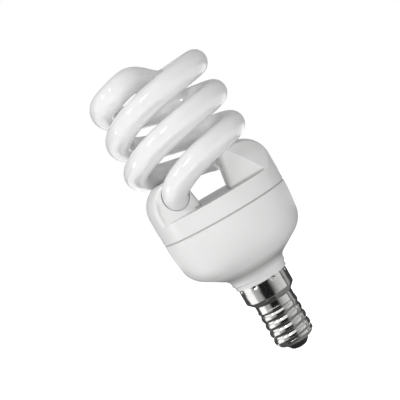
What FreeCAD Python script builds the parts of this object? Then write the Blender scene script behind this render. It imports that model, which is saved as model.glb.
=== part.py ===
# Spiral energy saving bulb with a small Edison screw cap (14 mm thread).
# Origin at the outer face of the centre contact, +Z along the axis from the cap to the glass.
# -Y is the side where the glass tube enters the left block of the cover. All sizes in millimetres.
import FreeCAD, Part
import math
import operator
import os
from types import SimpleNamespace

import Sketcher
from FreeCAD import Placement, Rotation, Vector

SIZES = (
    # Screw cap
    ("contact_radius", 2.2, "centre contact: radius of its disc"),
    ("contact_thickness", 0.4, "centre contact: thickness of its disc"),
    ("contact_stem_radius", 0.9, "centre contact: radius of its stem"),
    ("insulator_tip_radius", 2.9, "black insulator: radius of its outer end"),
    ("insulator_top_z", 5.0, "black insulator: height of its inner end"),
    ("insulator_flange", 0.9, "black insulator: height of its flange inside the shell"),
    ("insulator_seat_gap", 0.15, "black insulator: height of its waist above the shell's lower end"),
    ("shell_wall", 0.3, "screw shell: sheet thickness"),
    ("shell_mouth_radius", 4.5, "screw shell: radius of the hole at its lower end"),
    ("shell_mouth_z", 2.3, "screw shell: height of its lower end"),
    ("shell_toe_radius", 2.9, "screw shell: rounding between lower end and thread"),
    ("thread_radius", 6.92, "screw shell: radius over the thread"),
    ("thread_start_z", 5.0, "screw shell: where the thread starts"),
    ("thread_end_z", 15.8, "screw shell: where the thread ends"),
    ("throat_radius", 6.7, "screw shell: plain throat above the thread"),
    ("shoulder_z", 18.3, "screw shell: foot of the conical shoulder"),
    ("collar_z", 20.2, "screw shell: foot of the collar"),
    ("collar_radius", 8.65, "screw shell: radius of the collar"),
    ("rim_z", 25.9, "screw shell: upper rim of the collar"),
    # Lower housing
    ("wall", 1.5, "wall of the two housing mouldings"),
    ("fit_gap", 0.1, "clearance between pieces that are pushed together"),
    ("plug_z", 20.8, "housing: lower end of the plug that sits in the collar"),
    ("neck_bore_radius", 6.9, "housing: inside of the neck"),
    ("step_radius", 9.2, "housing: small step that rests on the collar's rim"),
    ("step_height", 1.2, "housing: height of that step"),
    ("neck_radius", 9.7, "housing: neck above the step"),
    ("flare_rounding", 2.6, "housing: rounding between neck and underside of the bowl"),
    ("body_radius", 22.1, "housing and cover: largest radius"),
    ("bowl_under_deg", 32.0, "housing: slope of the bowl's underside"),
    ("bowl_corner_rounding", 9.0, "housing: rounding of the bowl's lower corner"),
    ("bowl_side_radius", 62.0, "housing: long curve of the bowl's side"),
    ("bowl_side_deg", 8.85, "housing: how far that curve turns"),
    ("seam_z", 50.5, "joint between housing and cover"),
    ("seam_chamfer", 0.35, "chamfer on both sides of that joint"),
    ("rib_depth", 1.8, "housing: board ribs, radial depth"),
    ("rib_thickness", 1.2, "housing: board ribs, thickness"),
    ("rib_height", 4.6, "housing: board ribs, height"),
    ("rib_count", 4, "housing: number of board ribs"),
    # Upper cover
    ("lip_depth", 2.6, "cover: depth of the lip that plugs into the housing"),
    ("lip_wall", 1.2, "cover: wall of that lip"),
    ("lip_gap", 0.4, "cover: clearance round that lip"),
    ("ledge_z", 56.6, "cover: ledge in front of and between the blocks"),
    ("block_top_z", 68.6, "cover: top of the blocks"),
    ("dome_start_z", 60.0, "cover: where the blocks' outer wall starts to round over"),
    ("dome_radius", 9.0, "cover: radius of that rounding"),
    ("entry_face_y", 11.0, "cover: distance of the faces that the tube enters from the axis"),
    ("plain_face_y", 12.6, "cover: distance of the blocks' other faces from the axis"),
    ("channel_floor_half", 5.2, "cover: half width of the channel between the blocks at its floor"),
    ("channel_top_half", 7.0, "cover: half width of that channel at the blocks' top"),
    ("channel_rounding", 1.8, "cover: rounding between the channel and the blocks' plain faces"),
    ("block_rounding", 1.0, "cover: rounding of the blocks' other edges"),
    ("corner_inset", 0.4, "cover: how far inside the plain faces' outer edges the slanted corners start"),
    ("corner_lean_deg", 21.0, "cover: how much those corners lean inwards"),
    ("corner_shift", 8.0, "cover: how far beyond the axis their middle lies"),
    ("hole_gap", 0.2, "cover: clearance round the glass tube"),
    ("hole_reach_deg", 400.0, "cover: how far round the axis that clearance follows the tube"),
    # Glass tube
    ("tube_radius", 4.25, "glass tube: outer radius"),
    ("coil_radius", 17.4, "glass tube: radius of the coil's centre line"),
    ("half_pitch", 11.5, "glass tube: rise per half turn"),
    ("coil_side_z", 74.1, "glass tube: height of the centre line at the right side, first pass"),
    ("coil_rake_deg", 5.0, "glass tube: how much the turns rise towards the front"),
    ("coil_shift", 0.9, "glass tube: how far the coil stands to the left of the two ends' middle"),
    ("coil_narrowing", 0.7, "glass tube: how much the coil's radius shrinks towards the crossing"),
    ("narrowing_start_deg", 560.0, "glass tube: where it starts to shrink, round the axis"),
    ("entry_x", 10.7, "glass tube: distance of the two ends from the middle plane"),
    ("entry_bend_radius", 7.5, "glass tube: bend into the block, seen from above"),
    ("entry_straight", 2.0, "glass tube: straight stretch at the end"),
    ("entry_slope_deg", 28.5, "glass tube: slope at its first end, in front"),
    ("dip_start_deg", 295.0, "glass tube: where the slope starts to grow towards that end"),
    ("back_slope_deg", 36.0, "glass tube: slope at its second end, behind"),
    ("back_dip_deg", 265.0, "glass tube: where the slope starts to grow towards that end"),
    ("back_lift", 1.8, "glass tube: how far its second end is raised"),
    ("back_lift_deg", 400.0, "glass tube: where that lift has faded out, round the axis"),
    ("crown_start_deg", 700.0, "glass tube: where the slope starts to fade, round the axis"),
    ("crown_bend_radius", 6.8, "glass tube: bends of the crossing over the top"),
    ("crown_turn_deg", -32.0, "glass tube: direction of that crossing, from the Y axis"),
    ("crown_tilt", 1.6, "glass tube: how far the crossing's front is raised and its back lowered"),
    # Circuit board and what stands on it
    ("board_thickness", 1.2, "circuit board: thickness"),
    ("board_gap", 0.8, "circuit board: clearance to the housing's wall"),
    ("smoothing_radius", 5.0, "smoothing capacitor: radius"),
    ("smoothing_length", 16.5, "smoothing capacitor: length"),
    ("smoothing_groove", 0.4, "smoothing capacitor: depth of the crimped groove"),
    ("smoothing_groove_gap", 2.4, "smoothing capacitor: distance of that groove from the board"),
    ("choke_inset", 0.8, "choke: how far it stands inside the middle of the board's ring"),
    ("choke_core_depth", 5.0, "choke core: depth"),
    ("choke_core_width", 13.0, "choke core: width"),
    ("choke_core_height", 10.4, "choke core: height"),
    ("choke_leg", 2.8, "choke core: width of the middle leg"),
    ("choke_yoke", 1.4, "choke core: thickness of yokes and outer legs"),
    ("bobbin_wall", 0.6, "choke bobbin: wall"),
    ("bobbin_gap", 0.1, "choke bobbin: clearance to the core"),
    ("winding_depth", 1.8, "choke winding: depth of the bobbin's flanges"),
    ("winding_setback", 0.2, "choke winding: how far it lies below those flanges"),
    ("resonance_inset", 1.9, "resonance capacitor: how far it stands inside that middle"),
    ("resonance_thickness", 5.0, "resonance capacitor: thickness"),
    ("resonance_width", 10.0, "resonance capacitor: width"),
    ("resonance_height", 9.0, "resonance capacitor: height"),
    ("coupling_inset", 2.4, "coupling capacitor: how far it stands inside that middle"),
    ("coupling_thickness", 4.5, "coupling capacitor: thickness"),
    ("coupling_width", 9.0, "coupling capacitor: width"),
    ("coupling_height", 8.0, "coupling capacitor: height"),
    ("film_rounding", 0.8, "film capacitors: rounding of the dipped edges"),
    ("inductor_inset", 1.8, "filter inductor: how far it stands inside that middle"),
    ("inductor_radius", 3.4, "filter inductor: radius of the drum"),
    ("inductor_height", 8.5, "filter inductor: height"),
    ("inductor_flange", 1.0, "filter inductor: thickness of the flanges"),
    ("inductor_waist", 0.5, "filter inductor: how far the winding lies below the flanges"),
    ("ring_outset", 2.25, "drive transformer: how far it stands outside that middle"),
    ("ring_deg", -51.0, "drive transformer: direction from the axis"),
    ("ring_radius", 3.9, "drive transformer: outer radius of the ring core"),
    ("ring_bore_radius", 2.0, "drive transformer: bore of the ring core"),
    ("ring_height", 3.8, "drive transformer: height of the ring core"),
    ("ring_wire", 0.5, "drive transformer: thickness of the windings"),
    ("ring_wind_width", 1.8, "drive transformer: width of each winding"),
    ("ring_windings", 3, "drive transformer: number of windings"),
    ("transistor_outset", 1.3, "switching transistors: how far they stand outside that middle"),
    ("transistor_deg", 48.0, "switching transistors: direction from the axis, to either side"),
    ("transistor_radius", 2.4, "switching transistors: radius of the round back"),
    ("transistor_flat", 1.3, "switching transistors: distance of the flat front from the middle"),
    ("transistor_height", 4.8, "switching transistors: height"),
    ("diode_count", 4, "rectifier diodes: number"),
    ("diode_radius", 1.35, "rectifier diodes: radius"),
    ("diode_length", 5.2, "rectifier diodes: length"),
    ("diode_pitch", 3.4, "rectifier diodes: distance between neighbours"),
    ("diode_y", 4.0, "rectifier diodes: distance of the row from the axis"),
    ("diac_radius", 0.95, "start diac: radius"),
    ("diac_length", 4.0, "start diac: length"),
    ("diac_y", 4.5, "start diac: distance from the axis"),
    ("resistor_radius", 1.1, "base resistors: radius"),
    ("resistor_length", 6.3, "base resistors: length"),
    ("resistor_y", 9.5, "base resistors: distance from the axis"),
    ("resistor_pitch", 4.0, "base resistors: distance between them"),
    ("pin_side", 0.9, "wrap pins: side of the square"),
    ("pin_height", 3.4, "wrap pins: height"),
    ("lead_radius", 0.35, "wires: radius"),
    ("filament_spread", 1.4, "filament leads: half the distance between the two of one tube end"),
    ("filament_run", 3.0, "filament leads: how far they run on out of the tube before they turn down"),
    ("fuse_radius", 1.75, "fuse resistor: radius"),
    ("fuse_length", 8.0, "fuse resistor: length"),
    ("fuse_z", 9.5, "fuse resistor: lower end"),
    ("lead_run", 5.95, "supply leads: distance from the axis where they pass the capacitor"),
    ("lead_bend", 1.6, "supply leads: bend radius"),
    ("neutral_z", 15.5, "neutral lead: lower end, at the shell's throat"),
)

doc = FreeCAD.newDocument("SpiralBulb")
sheet = doc.addObject("Spreadsheet::Sheet", "Sizes")
for row, (alias, number, meaning) in enumerate(SIZES, 1):
    sheet.set(f"A{row}", meaning)
    sheet.set(f"B{row}", str(number))
    sheet.setAlias(f"B{row}", alias)
doc.recompute()

# Two points this near are one point, a run that bends by less than these shares is straight,
# and two faces that turn by less than this angle run on smoothly
TOUCH = 1e-5
STRAIGHT = 1e-6
PARALLEL = 1e-9
SMOOTH_ANGLE = math.radians(10)
OPERATIONS = {"+": operator.add, "-": operator.sub, "*": operator.mul, "/": operator.truediv}


class Size:
    """A number from the sheet, or one worked out from such numbers, with the expression that gives it."""

    def __init__(self, value, text):
        self.value = float(value)
        self.text = text

    def __float__(self):
        return self.value

    def __add__(self, other):
        return combine(self, "+", other)

    def __radd__(self, other):
        return combine(other, "+", self)

    def __sub__(self, other):
        return combine(self, "-", other)

    def __rsub__(self, other):
        return combine(other, "-", self)

    def __mul__(self, other):
        return combine(self, "*", other)

    def __rmul__(self, other):
        return combine(other, "*", self)

    def __truediv__(self, other):
        return combine(self, "/", other)

    def __neg__(self):
        return combine(0, "-", self)


def as_size(number):
    return number if isinstance(number, Size) else Size(number, f"{float(number):.6f}")


def combine(first, sign, second):
    first, second = as_size(first), as_size(second)
    value = OPERATIONS[sign](first.value, second.value)
    return Size(value, f"({first.text} {sign} {second.text})")


def root(size):
    return Size(math.sqrt(size.value), f"sqrt({size.text})")


def sine(degrees):
    return Size(math.sin(math.radians(degrees.value)), f"sin({degrees.text})")


def cosine(degrees):
    return Size(math.cos(math.radians(degrees.value)), f"cos({degrees.text})")


def tangent(degrees):
    return sine(degrees) / cosine(degrees)


d = SimpleNamespace(**{alias: Size(sheet.get(alias), f"Sizes.{alias}") for alias, _, _ in SIZES})
nodes = []


def bind(thing, name, size):
    """Ties a property of a document object to the sheet."""
    thing.setExpression(name, as_size(size).text)


def place(thing, x, y, z):
    for axis, size in zip("xyz", (x, y, z)):
        bind(thing, f"Placement.Base.{axis}", size)


def node(thing, label):
    """Marks a finished sub-part: its label names its file."""
    thing.Label = label
    nodes.append(thing)
    return thing


# Sketches, turned bodies and primitives

def arc_of(start, end, radius, turn):
    """The shorter arc between two points; turn is 1 where it bends to the left, -1 to the right."""
    middle = (start + end) * 0.5
    chord = end - start
    left = Vector(-chord.y, chord.x, 0).normalize()
    centre = middle + left * (turn * math.sqrt(radius ** 2 - (chord.Length / 2) ** 2))
    first, last = (start, end) if turn > 0 else (end, start)
    from_angle = math.atan2(first.y - centre.y, first.x - centre.x)
    to_angle = math.atan2(last.y - centre.y, last.x - centre.x)
    return Part.ArcOfCircle(Part.Circle(centre, Vector(0, 0, 1), radius), from_angle, to_angle)


def closed_sketch(body, name, role, corners):
    """A closed outline in one of the body's own planes, with every corner tied to the sheet.

    A corner is (x, y), or (x, y, radius, turn) where the stretch that starts at it is an arc."""
    sketch = body.newObject("Sketcher::SketchObject", name)
    plane = next(item for item in body.Origin.OriginFeatures if item.Role == role)
    sketch.AttachmentSupport = [(plane, "")]
    sketch.MapMode = "FlatFace"
    points = [Vector(float(corner[0]), float(corner[1]), 0) for corner in corners]
    starts, ends = [], []
    for index, corner in enumerate(corners):
        start, end = points[index], points[(index + 1) % len(points)]
        if len(corner) == 2:
            sketch.addGeometry(Part.LineSegment(start, end))
            turn = 1
        else:
            turn = corner[3]
            sketch.addGeometry(arc_of(start, end, float(corner[2]), turn))
            number = sketch.addConstraint(Sketcher.Constraint("Radius", index, float(corner[2])))
            sketch.setExpression(f"Constraints[{number}]", as_size(corner[2]).text)
        starts.append(1 if turn > 0 else 2)
        ends.append(2 if turn > 0 else 1)
    for index, corner in enumerate(corners):
        following = (index + 1) % len(corners)
        sketch.addConstraint(
            Sketcher.Constraint("Coincident", index, ends[index], following, starts[following]))
        for kind, axis, size in (("DistanceX", -2, corner[0]), ("DistanceY", -1, corner[1])):
            if float(size) == 0:
                sketch.addConstraint(Sketcher.Constraint("PointOnObject", index, starts[index], axis))
                continue
            rule = Sketcher.Constraint(kind, -1, 1, index, starts[index], float(size))
            number = sketch.addConstraint(rule)
            sketch.setExpression(f"Constraints[{number}]", as_size(size).text)
    return sketch


def turned(name, corners):
    """A body turned about the axis from an outline of (radius, height) corners."""
    body = doc.addObject("PartDesign::Body", name)
    sketch = closed_sketch(body, f"{name}_outline", "XZ_Plane", corners)
    feature = body.newObject("PartDesign::Revolution", f"{name}_turned")
    feature.Profile = sketch
    feature.ReferenceAxis = (sketch, ["V_Axis"])
    feature.Angle = 360
    return body


def box(name, sides, low):
    block = doc.addObject("Part::Box", name)
    for side, size in zip(("Length", "Width", "Height"), sides):
        bind(block, side, size)
    place(block, *low)
    return block


def centred_box(name, sides, middle_x, middle_y, bottom):
    return box(name, sides, (middle_x - sides[0] / 2, middle_y - sides[1] / 2, bottom))


LYING = {"x": Rotation(Vector(0, 1, 0), 90), "y": Rotation(Vector(1, 0, 0), -90), "z": Rotation()}


def cylinder(name, radius, length, low, along="z"):
    bar = doc.addObject("Part::Cylinder", name)
    bind(bar, "Radius", radius)
    bind(bar, "Height", length)
    bar.Placement = Placement(Vector(), LYING[along])
    place(bar, *low)
    return bar


def cut(name, base, tool):
    result = doc.addObject("Part::Cut", name)
    result.Base = base
    result.Tool = tool
    return result


def fuse(name, pieces):
    result = doc.addObject("Part::MultiFuse", name)
    result.Shapes = pieces
    return result


def sharp_edges(shape, above):
    """Numbers of the straight edges over a height where two faces meet at an angle."""
    numbers = []
    for number, edge in enumerate(shape.Edges, 1):
        straight = isinstance(edge.Curve, Part.Line)
        if not straight or edge.BoundBox.ZMin < above - TOUCH or edge.BoundBox.ZMax < above + TOUCH:
            continue
        middle = edge.CenterOfMass
        faces = shape.ancestorsOfType(edge, Part.Face)
        normals = [face.normalAt(*face.Surface.parameter(middle)) for face in faces]
        if len(normals) == 2 and normals[0].getAngle(normals[1]) > SMOOTH_ANGLE:
            numbers.append(number)
    return numbers


def rounded_off(name, base, numbers, size):
    result = doc.addObject("Part::Fillet", name)
    result.Base = base
    result.Edges = [(number, float(size), float(size)) for number in numbers]
    doc.recompute()
    return result


def group(name, pieces):
    """Several like pieces in one node."""
    result = doc.addObject("Part::Compound", name)
    result.Links = pieces
    return result


# The glass tube's centre line

def turn_pieces():
    """Half of the centre line seen from above, from a tube end to the crossing's middle.

    Each piece is (length, curvature), and all of them bend to the left."""
    coil, entry, crown = float(d.coil_radius), float(d.entry_bend_radius), float(d.crown_bend_radius)
    leave_deg = math.degrees(math.acos((entry - float(d.entry_x)) / (coil - entry)))
    coil_start_deg = 360 - leave_deg
    lean_deg = math.degrees(math.asin(crown / (coil - crown)))
    coil_end_deg = 720 + 90 + float(d.crown_turn_deg) - lean_deg
    crossing = math.sqrt((coil - crown) ** 2 - crown ** 2)
    arcs = ((coil_start_deg - 180, entry), (coil_end_deg - coil_start_deg, coil), (90 + lean_deg, crown))
    pieces = [(float(d.entry_straight), 0.0)]
    pieces += [(math.radians(turn) * radius, 1 / radius) for turn, radius in arcs]
    pieces.append((crossing, 0.0))
    return pieces, coil_start_deg


class CentreLine:
    """The tube's centre line by its length seen from above: place and direction at any point of it."""

    def __init__(self):
        half, self.coil_start_deg = turn_pieces()
        mirrored = [(length, -curvature) for length, curvature in reversed(half)]
        self.pieces = half + mirrored
        self.half = sum(length for length, _ in half)
        self.total = 2 * self.half
        coil = float(d.coil_radius)
        straight, entry_turn, coil_turns, crown_turn, crossing = (length for length, _ in half)
        self.coil_start = straight + entry_turn
        self.crown_reach = crown_turn + crossing
        self.climb = float(d.half_pitch) / (math.pi * coil)
        self.rake = math.tan(math.radians(float(d.coil_rake_deg)))
        self.front = self.entry(d.entry_slope_deg, d.dip_start_deg)
        self.back = self.entry(d.back_slope_deg, d.back_dip_deg)
        self.lift_end = self.along_coil(float(d.back_lift_deg))
        self.crown_start = self.along_coil(float(d.crown_start_deg))
        self.narrowing_start = self.along_coil(float(d.narrowing_start_deg))
        self.narrowing_end = self.coil_start + coil_turns
        self.side = self.along_coil(360)
        start_deg = math.radians(self.coil_start_deg)
        entry = float(d.entry_bend_radius)
        bend_y = coil * math.sin(start_deg) - entry * math.sin(start_deg)
        self.start = Vector(-float(d.entry_x), bend_y + float(d.entry_straight), 0)

    def along_coil(self, angle_deg):
        return self.coil_start + math.radians(angle_deg - self.coil_start_deg) * float(d.coil_radius)

    def entry(self, slope_deg, dip_start_deg):
        """One of the two ends: its slope, and the length from it where the even climb starts."""
        slope = math.tan(math.radians(float(slope_deg)))
        return SimpleNamespace(slope=slope, dip_end=self.along_coil(float(dip_start_deg)))

    def slope(self, length, entry):
        """Rise per length seen from above, without the rake, on the half that starts at this end."""
        if length < entry.dip_end:
            return entry.slope + (self.climb - entry.slope) * length / entry.dip_end
        if length < self.crown_start:
            return self.climb
        return self.climb * (self.half - length) / (self.half - self.crown_start)

    def height(self, length, entry):
        """Height without the rake on that half: the slope summed from the coil's side."""
        level = float(d.coil_side_z)
        slope = self.slope(length, entry)
        if length < entry.dip_end:
            level += self.climb * (entry.dip_end - self.side)
            return level - (entry.dip_end - length) * (slope + self.climb) / 2
        if length < self.crown_start:
            return level + self.climb * (length - self.side)
        level += self.climb * (self.crown_start - self.side)
        return level + (length - self.crown_start) * (self.climb + slope) / 2

    def tilt(self, length):
        """What the crossing's tilt adds to height and slope: one smooth wave about its middle."""
        turn = math.pi * (length - self.half) / self.crown_reach
        if abs(turn) > math.pi:
            return 0.0, 0.0
        crest = math.sin(math.pi / 3) * (1 + math.cos(math.pi / 3))
        share = float(d.crown_tilt) / crest
        steepness = math.pi / self.crown_reach * (math.cos(turn) + math.cos(2 * turn))
        return share * math.sin(turn) * (1 + math.cos(turn)), share * steepness

    def eased(self, length, start, end):
        """A share that grows softly from 0 at one length to 1 at another, and its change per length.

        On the second half both lengths are counted back from its end."""
        first_half = length <= self.half
        near = length if first_half else self.total - length
        share = min(1.0, max(0.0, (near - start) / (end - start)))
        change = 6 * share * (1 - share) / (end - start)
        return share ** 2 * (3 - 2 * share), change if first_half else -change

    def at(self, length):
        """Point and unit direction at a length from the first tube end, or a little past either end."""
        spot = Vector(self.start)
        heading = math.radians(270)
        left = length
        last = len(self.pieces) - 1
        for number, (piece, curvature) in enumerate(self.pieces):
            step = left if number == last else min(piece, left)
            turn = step * curvature
            if curvature:
                spot.x += (math.sin(heading + turn) - math.sin(heading)) / curvature
                spot.y += (math.cos(heading) - math.cos(heading + turn)) / curvature
            else:
                spot.x += step * math.cos(heading)
                spot.y += step * math.sin(heading)
            heading += turn
            left -= step
            if left <= 0:
                break
        first_half = length <= self.half
        near = length if first_half else self.total - length
        entry = self.front if first_half else self.back
        rise = self.slope(near, entry) if first_half else -self.slope(near, entry)
        lifted, lifting = self.tilt(length)
        spot.z = self.height(near, entry) + lifted
        way = Vector(math.cos(heading), math.sin(heading), rise + lifting)
        narrowed, narrowing = self.eased(length, self.narrowing_start, self.narrowing_end)
        shrink = float(d.coil_narrowing) / float(d.coil_radius)
        kept = 1 - shrink * narrowed
        way.x = way.x * kept - spot.x * shrink * narrowing
        way.y = way.y * kept - spot.y * shrink * narrowing
        spot.x *= kept
        spot.y *= kept
        shifted, shifting = self.eased(length, 0.0, self.front.dip_end)
        spot.x -= float(d.coil_shift) * shifted
        way.x -= float(d.coil_shift) * shifting
        spot.z -= spot.y * self.rake
        way.z -= way.y * self.rake
        if not first_half:
            settled, settling = self.eased(length, 0.0, self.lift_end)
            spot.z += float(d.back_lift) * (1 - settled)
            way.z -= float(d.back_lift) * settling
        return spot, way.normalize()

    def stations(self, start, end, longest_turn_deg=36.0):
        """Lengths where one stretch of the tube meets the next, between two lengths."""
        marks = {start, end, self.front.dip_end, self.crown_start}
        marks |= {self.total - self.back.dip_end, self.total - self.crown_start}
        reached = 0.0
        for piece, _ in self.pieces:
            reached += piece
            marks.add(reached)
        marks = sorted(mark for mark in marks if start <= mark <= end)
        lengths = [marks[0]]
        for low, high in zip(marks, marks[1:]):
            if high - low < TOUCH:
                continue
            turn = abs(math.degrees(self.bend((low + high) / 2) * (high - low)))
            count = max(1, math.ceil(turn / longest_turn_deg))
            lengths += [low + (high - low) * step / count for step in range(1, count + 1)]
        return lengths

    def bend(self, length):
        reached = 0.0
        for piece, curvature in self.pieces:
            reached += piece
            if length < reached:
                return curvature
        return 0.0


def tangent_arcs(spots, ways):
    """Splits each stretch into two arcs that meet smoothly: (start, direction there, end)."""
    arcs = []
    for start, end, leaving, arriving in zip(spots, spots[1:], ways, ways[1:]):
        chord = end - start
        both = leaving + arriving
        spread = 2 * (1 - leaving.dot(arriving))
        reach = chord.dot(both)
        if spread < PARALLEL:
            handle = chord.Length ** 2 / (2 * reach)
        else:
            handle = (math.sqrt(reach ** 2 + spread * chord.Length ** 2) - reach) / spread
        middle = (start + end + (leaving - arriving) * handle) * 0.5
        passing = (middle - start - leaving * handle).normalize()
        arcs.append((start, leaving, middle))
        arcs.append((middle, passing, end))
    return arcs


def round_bar(spots, ways, radius):
    """A solid round bar through the spots: each arc of its centre line gives a piece of a ring."""
    ring = Part.Wire(Part.makeCircle(radius, spots[0], ways[0]))
    faces = [Part.Face(ring)]
    for start, leaving, end in tangent_arcs(spots, ways):
        chord = end - start
        axis = leaving.cross(chord)
        if axis.Length < STRAIGHT * chord.Length:
            faces += ring.extrude(chord).Faces
            ring = ring.translated(chord)
            continue
        half_turn = math.asin(min(1.0, axis.Length / chord.Length))
        axis.normalize()
        centre = start + axis.cross(leaving) * (chord.Length / (2 * math.sin(half_turn)))
        turn_deg = math.degrees(2 * half_turn)
        faces += ring.revolve(centre, axis, turn_deg).Faces
        ring = ring.rotated(centre, axis, turn_deg)
    faces.append(Part.Face(ring))
    shell = Part.makeShell(faces)
    shell.sewShape()
    solid = Part.makeSolid(shell)
    return solid if solid.Volume > 0 else solid.reversed()


def tube_along(line, start, end, radius):
    spots, ways = zip(*(line.at(length) for length in line.stations(start, end)))
    return round_bar(spots, ways, radius)


def wire_through(corners, bend, radius):
    """A wire of straight runs and bends of one radius through the given corners."""
    spots, ways = [corners[0]], [(corners[1] - corners[0]).normalize()]
    for before, corner, after in zip(corners, corners[1:], corners[2:]):
        arriving = (corner - before).normalize()
        leaving = (after - corner).normalize()
        setback = bend * math.tan(arriving.getAngle(leaving) / 2)
        spots += [corner - arriving * setback, corner + leaving * setback]
        ways += [arriving, leaving]
    spots.append(corners[-1])
    ways.append((corners[-1] - corners[-2]).normalize())
    return round_bar(spots, ways, radius)


def shaped(name, shape):
    thing = doc.addObject("Part::Feature", name)
    thing.Shape = shape
    return thing


line = CentreLine()
tube_radius = float(d.tube_radius)
node(shaped("GlassTube", tube_along(line, 0, line.total, tube_radius)), "glass_tube")


# Screw cap

stem_top = d.insulator_top_z + d.contact_thickness


def make_cap():
    tip_z = d.contact_thickness
    node(turned("CentreContact", (
        (0, 0),
        (d.contact_radius, 0),
        (d.contact_radius, tip_z),
        (d.contact_stem_radius, tip_z),
        (d.contact_stem_radius, stem_top),
        (0, stem_top),
    )), "centre_contact")

    waist = d.shell_mouth_radius - d.fit_gap
    inner_radius = d.thread_radius - d.shell_wall
    flange = (d.shell_mouth_radius + inner_radius) / 2
    node(turned("CapInsulator", (
        (d.contact_stem_radius, tip_z),
        (d.insulator_tip_radius, tip_z),
        (waist, d.shell_mouth_z),
        (waist, d.shell_mouth_z + d.shell_wall + d.insulator_seat_gap),
        (flange, d.insulator_top_z - d.insulator_flange),
        (flange, d.insulator_top_z),
        (d.contact_stem_radius, d.insulator_top_z),
    )), "cap_insulator")

    wall = d.shell_wall
    throat_z = d.thread_end_z + wall
    node(turned("ScrewShell", (
        (d.shell_mouth_radius, d.shell_mouth_z, d.shell_toe_radius, 1),
        (d.thread_radius, d.thread_start_z),
        (d.thread_radius, d.thread_end_z),
        (d.throat_radius, throat_z),
        (d.throat_radius, d.shoulder_z),
        (d.collar_radius, d.collar_z),
        (d.collar_radius, d.rim_z),
        (d.collar_radius - wall, d.rim_z),
        (d.collar_radius - wall, d.collar_z + wall / 2),
        (d.throat_radius - wall, d.shoulder_z + wall / 2),
        (d.throat_radius - wall, throat_z),
        (inner_radius, d.thread_end_z),
        (inner_radius, d.thread_start_z, d.shell_toe_radius - wall, -1),
        (d.shell_mouth_radius, d.shell_mouth_z + wall),
    )), "screw_shell")


# Lower housing

board_top = d.seam_z - d.lip_depth - d.fit_gap
board_z = board_top - d.board_thickness


def on_arc(centre, radius, angle_deg):
    """Point of an arc in the outline, its angle counted downwards from the outward direction."""
    return centre[0] + radius * cosine(angle_deg), centre[1] - radius * sine(angle_deg)


def make_housing():
    plug_radius = d.collar_radius - d.shell_wall - d.fit_gap
    neck_z = d.rim_z + d.step_height + d.neck_radius - d.step_radius
    side_top = d.seam_z - d.seam_chamfer
    side_centre = (d.body_radius - d.bowl_side_radius, side_top)
    corner_centre = on_arc(side_centre, d.bowl_side_radius - d.bowl_corner_rounding, d.bowl_side_deg)
    under_deg = 90 - d.bowl_under_deg
    steepness = tangent(d.bowl_under_deg)
    side_end = on_arc(side_centre, d.bowl_side_radius, d.bowl_side_deg)
    under_end = on_arc(corner_centre, d.bowl_corner_rounding, under_deg)
    flare_z = under_end[1] - (under_end[0] - d.neck_radius) * steepness
    setback = d.flare_rounding * tangent(under_deg / 2)
    flare_end = (d.neck_radius + setback * cosine(d.bowl_under_deg),
                 flare_z + setback * sine(d.bowl_under_deg))
    inner_side = d.bowl_side_radius - d.wall
    inner_corner = d.bowl_corner_rounding - d.wall
    inner_side_end = on_arc(side_centre, inner_side, d.bowl_side_deg)
    inner_under_end = on_arc(corner_centre, inner_corner, under_deg)
    bore_top = inner_under_end[1] - (inner_under_end[0] - d.neck_bore_radius) * steepness
    body = turned("LowerHousing", (
        (d.neck_bore_radius, d.plug_z),
        (plug_radius, d.plug_z),
        (plug_radius, d.rim_z),
        (d.step_radius, d.rim_z),
        (d.step_radius, d.rim_z + d.step_height),
        (d.neck_radius, neck_z),
        (d.neck_radius, flare_z - setback, d.flare_rounding, -1),
        flare_end,
        under_end + (d.bowl_corner_rounding, 1),
        side_end + (d.bowl_side_radius, 1),
        (d.body_radius, side_top),
        (d.body_radius - d.seam_chamfer, d.seam_z),
        (d.body_radius - d.wall, d.seam_z),
        (d.body_radius - d.wall, side_top, inner_side, -1),
        inner_side_end + (inner_corner, -1),
        inner_under_end,
        (d.neck_bore_radius, bore_top),
    ))
    doc.recompute()
    add_board_ribs(body)
    node(body, "lower_housing")


def add_board_ribs(body):
    """Ribs inside the bowl that carry the circuit board."""
    outer = d.body_radius - d.wall - d.fit_gap
    inner = outer - d.rib_depth
    foot = board_z - d.rib_height
    sketch = closed_sketch(body, "RibOutline", "XZ_Plane", (
        (inner, foot + d.rib_depth),
        (outer, foot),
        (outer, board_z),
        (inner, board_z),
    ))
    rib = body.newObject("PartDesign::Pad", "Rib")
    rib.Profile = sketch
    bind(rib, "Length", d.rib_thickness)
    rib.SideType = "Symmetric"
    doc.recompute()
    pattern = body.newObject("PartDesign::PolarPattern", "Ribs")
    pattern.Originals = [rib]
    axis = next(item for item in body.Origin.OriginFeatures if item.Role == "Z_Axis")
    pattern.Axis = (axis, [""])
    pattern.Angle = 360
    bind(pattern, "Occurrences", d.rib_count)
    body.Tip = pattern
    doc.recompute()


# Upper cover

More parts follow.
